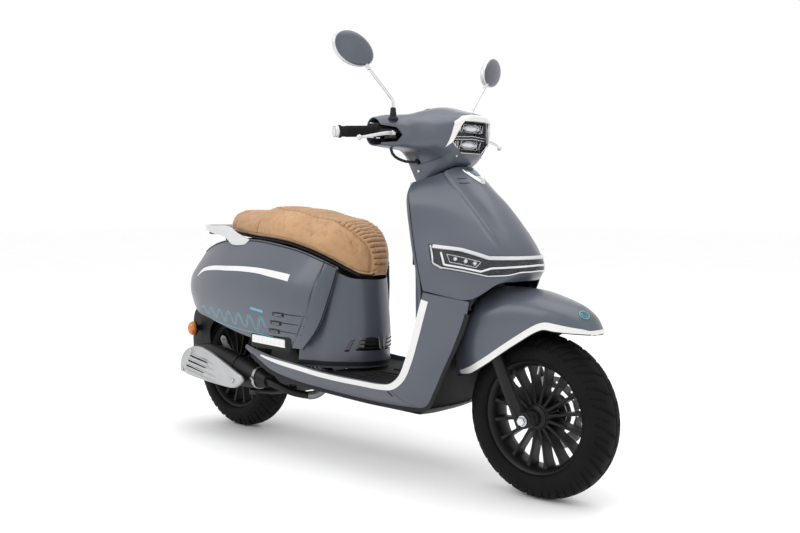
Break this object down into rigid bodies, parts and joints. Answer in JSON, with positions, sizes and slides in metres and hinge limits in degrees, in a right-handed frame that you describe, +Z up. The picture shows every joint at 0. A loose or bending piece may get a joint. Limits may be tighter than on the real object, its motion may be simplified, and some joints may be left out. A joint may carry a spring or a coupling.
{
  "type": "moped scooter",
  "caption": "Step-through moped scooter with a telescopic fork, swinging engine unit, hinged two-level seat, folding stands and pegs, and round-edged body panels.",
  "frame": {"origin": "on the ground, at the middle of the overall length and width", "axes": "+X forward, +Y to the rider's left, +Z up"},
  "size_m": [1.84, 0.7984, 1.3349],
  "materials": {
    "paint": "satin blue-grey lacquer on moulded body panels",
    "black_plastic": "moulded black plastic with a fine grain",
    "black_metal": "semi-gloss black paint on steel",
    "rubber": "ribbed black rubber",
    "tyre": "treaded black tyre rubber",
    "steel": "brushed steel",
    "cast": "sand-cast aluminium",
    "leather": "tan stitched leatherette over foam",
    "cream": "cream-white gloss paint",
    "chrome": "polished chrome",
    "lens": "clear lamp lens over chrome reflectors",
    "amber": "amber ribbed lens",
    "red": "red gloss plastic"
  },
  "bodies": {
    "chassis": {"frame": "black_metal", "apron_front": "paint", "leg_shield": "paint", "floorboard": "rubber", "side_skirt_right": "paint", "side_skirt_left": "paint", "belly_tray": "black_plastic", "side_cowl_right": "paint", "side_cowl_left": "paint", "seat_column": "paint", "tail_cowl": "paint", "tail_light": "red", "rear_indicator_right": "amber", "rear_indicator_left": "amber", "rear_mudguard": "black_plastic", "grab_rail": "cream", "apron_light": "lens", "storage_bucket": "black_plastic"},
    "glovebox_lid": {"glovebox_lid": "paint"},
    "seat": {"seat_cushion": "leather", "seat_pan": "black_plastic"},
    "centre_stand": {"centre_stand": "black_metal"},
    "side_stand": {"side_stand": "black_metal"},
    "footpeg_right": {"footpeg_right": "cream"},
    "footpeg_left": {"footpeg_left": "cream"},
    "steering": {"fork_yoke": "black_metal", "front_fender": "paint", "handlebar": "black_metal", "headset_cover": "paint", "instrument_panel": "black_plastic", "headlight_unit": "lens", "grip_left": "rubber", "switch_pod_right": "black_plastic", "switch_pod_left": "black_plastic"},
    "throttle_grip": {"throttle_grip": "rubber"},
    "brake_lever_right": {"brake_lever_right": "steel"},
    "brake_lever_left": {"brake_lever_left": "steel"},
    "horn_button": {"horn_button": "black_plastic"},
    "starter_button": {"starter_button": "red"},
    "turn_switch": {"turn_switch": "black_plastic"},
    "mirror_arm_right": {"mirror_stem_right": "chrome"},
    "mirror_arm_left": {"mirror_stem_left": "chrome"},
    "mirror_right": {"mirror_head_right": "paint"},
    "mirror_left": {"mirror_head_left": "paint"},
    "fork_lowers": {"fork_leg_right": "black_metal", "fork_leg_left": "black_metal", "front_axle": "steel", "front_caliper": "cast"},
    "front_wheel": {"front_rim": "black_metal", "front_tyre": "tyre", "front_disc": "steel"},
    "engine_unit": {"engine_case": "cast", "cylinder": "cast", "muffler": "black_metal", "muffler_shield": "steel"},
    "kick_lever": {"kick_lever": "steel"},
    "rear_wheel": {"rear_rim": "black_metal", "rear_tyre": "tyre"},
    "shock_upper": {"shock_body": "black_metal"},
    "shock_lower": {"shock_rod": "chrome"}
  },
  "joints": [
    {"name": "steering", "type": "hinge", "parent": "chassis", "child": "steering", "pos_m": [0.294, 0, 0.94], "axis": [-0.4462, 0, 0.8949], "range_deg": [-38, 38]},
    {"name": "front_suspension", "type": "slide", "parent": "steering", "child": "fork_lowers", "axis": [-0.4462, 0, 0.8949], "range_m": [0, 0.06], "stiffness_N_per_m": 9000, "springref_m": -0.07},
    {"name": "front_wheel_spin", "type": "hinge", "parent": "fork_lowers", "child": "front_wheel", "pos_m": [0.6805, 0, 0.2365], "axis": [0, 1, 0], "continuous": true},
    {"name": "engine_swing", "type": "hinge", "parent": "chassis", "child": "engine_unit", "pos_m": [-0.232, 0, 0.232], "axis": [0, 1, 0], "range_deg": [0, 8], "stiffness_Nm_per_rad": 1800, "springref_deg": -14.32},
    {"name": "rear_wheel_spin", "type": "hinge", "parent": "engine_unit", "child": "rear_wheel", "pos_m": [-0.6735, 0, 0.2365], "axis": [0, 1, 0], "continuous": true},
    {"name": "shock_tilt", "type": "hinge", "parent": "chassis", "child": "shock_upper", "pos_m": [-0.606, 0.12, 0.588], "axis": [0, 1, 0], "range_deg": [-4.2, 0.2]},
    {"name": "shock_slide", "type": "slide", "parent": "shock_upper", "child": "shock_lower", "axis": [0.1414, 0, 0.9899], "range_m": [0, 0.06]},
    {"name": "throttle_twist", "type": "hinge", "parent": "steering", "child": "throttle_grip", "pos_m": [0.246, -0.23, 1.054], "axis": [-0.3908, -0.9195, -0.0414], "range_deg": [0, 75], "stiffness_Nm_per_rad": 0.4, "springref_deg": -8.59},
    {"name": "brake_lever_right_pull", "type": "hinge", "parent": "steering", "child": "brake_lever_right", "pos_m": [0.292, -0.212, 1.046], "axis": [0, 0, -1], "range_deg": [0, 16], "stiffness_Nm_per_rad": 2, "springref_deg": -8.59},
    {"name": "brake_lever_left_pull", "type": "hinge", "parent": "steering", "child": "brake_lever_left", "pos_m": [0.292, 0.212, 1.046], "axis": [0, 0, 1], "range_deg": [0, 16], "stiffness_Nm_per_rad": 2, "springref_deg": -8.59},
    {"name": "horn_button_press", "type": "slide", "parent": "steering", "child": "horn_button", "axis": [1, 0, 0], "range_m": [0, 0.003], "stiffness_N_per_m": 300, "springref_m": -0.001},
    {"name": "starter_button_press", "type": "slide", "parent": "steering", "child": "starter_button", "axis": [1, 0, 0], "range_m": [0, 0.003], "stiffness_N_per_m": 300, "springref_m": -0.001},
    {"name": "turn_switch_slide", "type": "slide", "parent": "steering", "child": "turn_switch", "axis": [0, 1, 0], "range_m": [-0.004, 0.004], "stiffness_N_per_m": 250},
    {"name": "mirror_arm_right_swivel", "type": "hinge", "parent": "steering", "child": "mirror_arm_right", "pos_m": [0.275, -0.19, 1.094], "axis": [0, 0, 1], "range_deg": [-25, 25]},
    {"name": "mirror_right_tilt", "type": "hinge", "parent": "mirror_arm_right", "child": "mirror_right", "pos_m": [0.26, -0.279, 1.231], "axis": [-0.1428, -0.6854, 0.714], "range_deg": [-12, 12]},
    {"name": "mirror_arm_left_swivel", "type": "hinge", "parent": "steering", "child": "mirror_arm_left", "pos_m": [0.275, 0.19, 1.094], "axis": [0, 0, 1], "range_deg": [-25, 25]},
    {"name": "mirror_left_tilt", "type": "hinge", "parent": "mirror_arm_left", "child": "mirror_left", "pos_m": [0.26, 0.279, 1.231], "axis": [-0.1428, 0.6854, 0.714], "range_deg": [-12, 12]},
    {"name": "seat_hinge", "type": "hinge", "parent": "chassis", "child": "seat", "pos_m": [0.044, 0, 0.602], "axis": [0, 1, 0], "range_deg": [0, 55]},
    {"name": "glovebox_hinge", "type": "hinge", "parent": "chassis", "child": "glovebox_lid", "pos_m": [0.295, -0.098, 0.66], "axis": [0, -1, 0], "range_deg": [0, 70]},
    {"name": "centre_stand_fold", "type": "hinge", "parent": "engine_unit", "child": "centre_stand", "pos_m": [-0.345, 0, 0.185], "axis": [0, -1, 0], "range_deg": [0, 78], "stiffness_Nm_per_rad": 3, "springref_deg": -40.11},
    {"name": "side_stand_fold", "type": "hinge", "parent": "chassis", "child": "side_stand", "pos_m": [-0.12, 0.152, 0.236], "axis": [0.3, -0.9539, 0], "range_deg": [0, 85], "stiffness_Nm_per_rad": 2, "springref_deg": -34.38},
    {"name": "footpeg_right_fold", "type": "hinge", "parent": "chassis", "child": "footpeg_right", "pos_m": [-0.194, -0.1985, 0.379], "axis": [0, 0, 1], "range_deg": [0, 80]},
    {"name": "footpeg_left_fold", "type": "hinge", "parent": "chassis", "child": "footpeg_left", "pos_m": [-0.194, 0.1985, 0.379], "axis": [0, 0, -1], "range_deg": [0, 80]},
    {"name": "kick_lever_swing", "type": "hinge", "parent": "engine_unit", "child": "kick_lever", "pos_m": [-0.42, 0.152, 0.29], "axis": [0, 1, 0], "range_deg": [0, 55], "stiffness_Nm_per_rad": 1.5, "springref_deg": -17.19}
  ],
  "couplings": [
    {"joint": "shock_tilt", "follows": "engine_swing", "ratio": -0.484},
    {"joint": "shock_slide", "follows": "engine_swing", "m_per_rad": 0.4118}
  ]
}
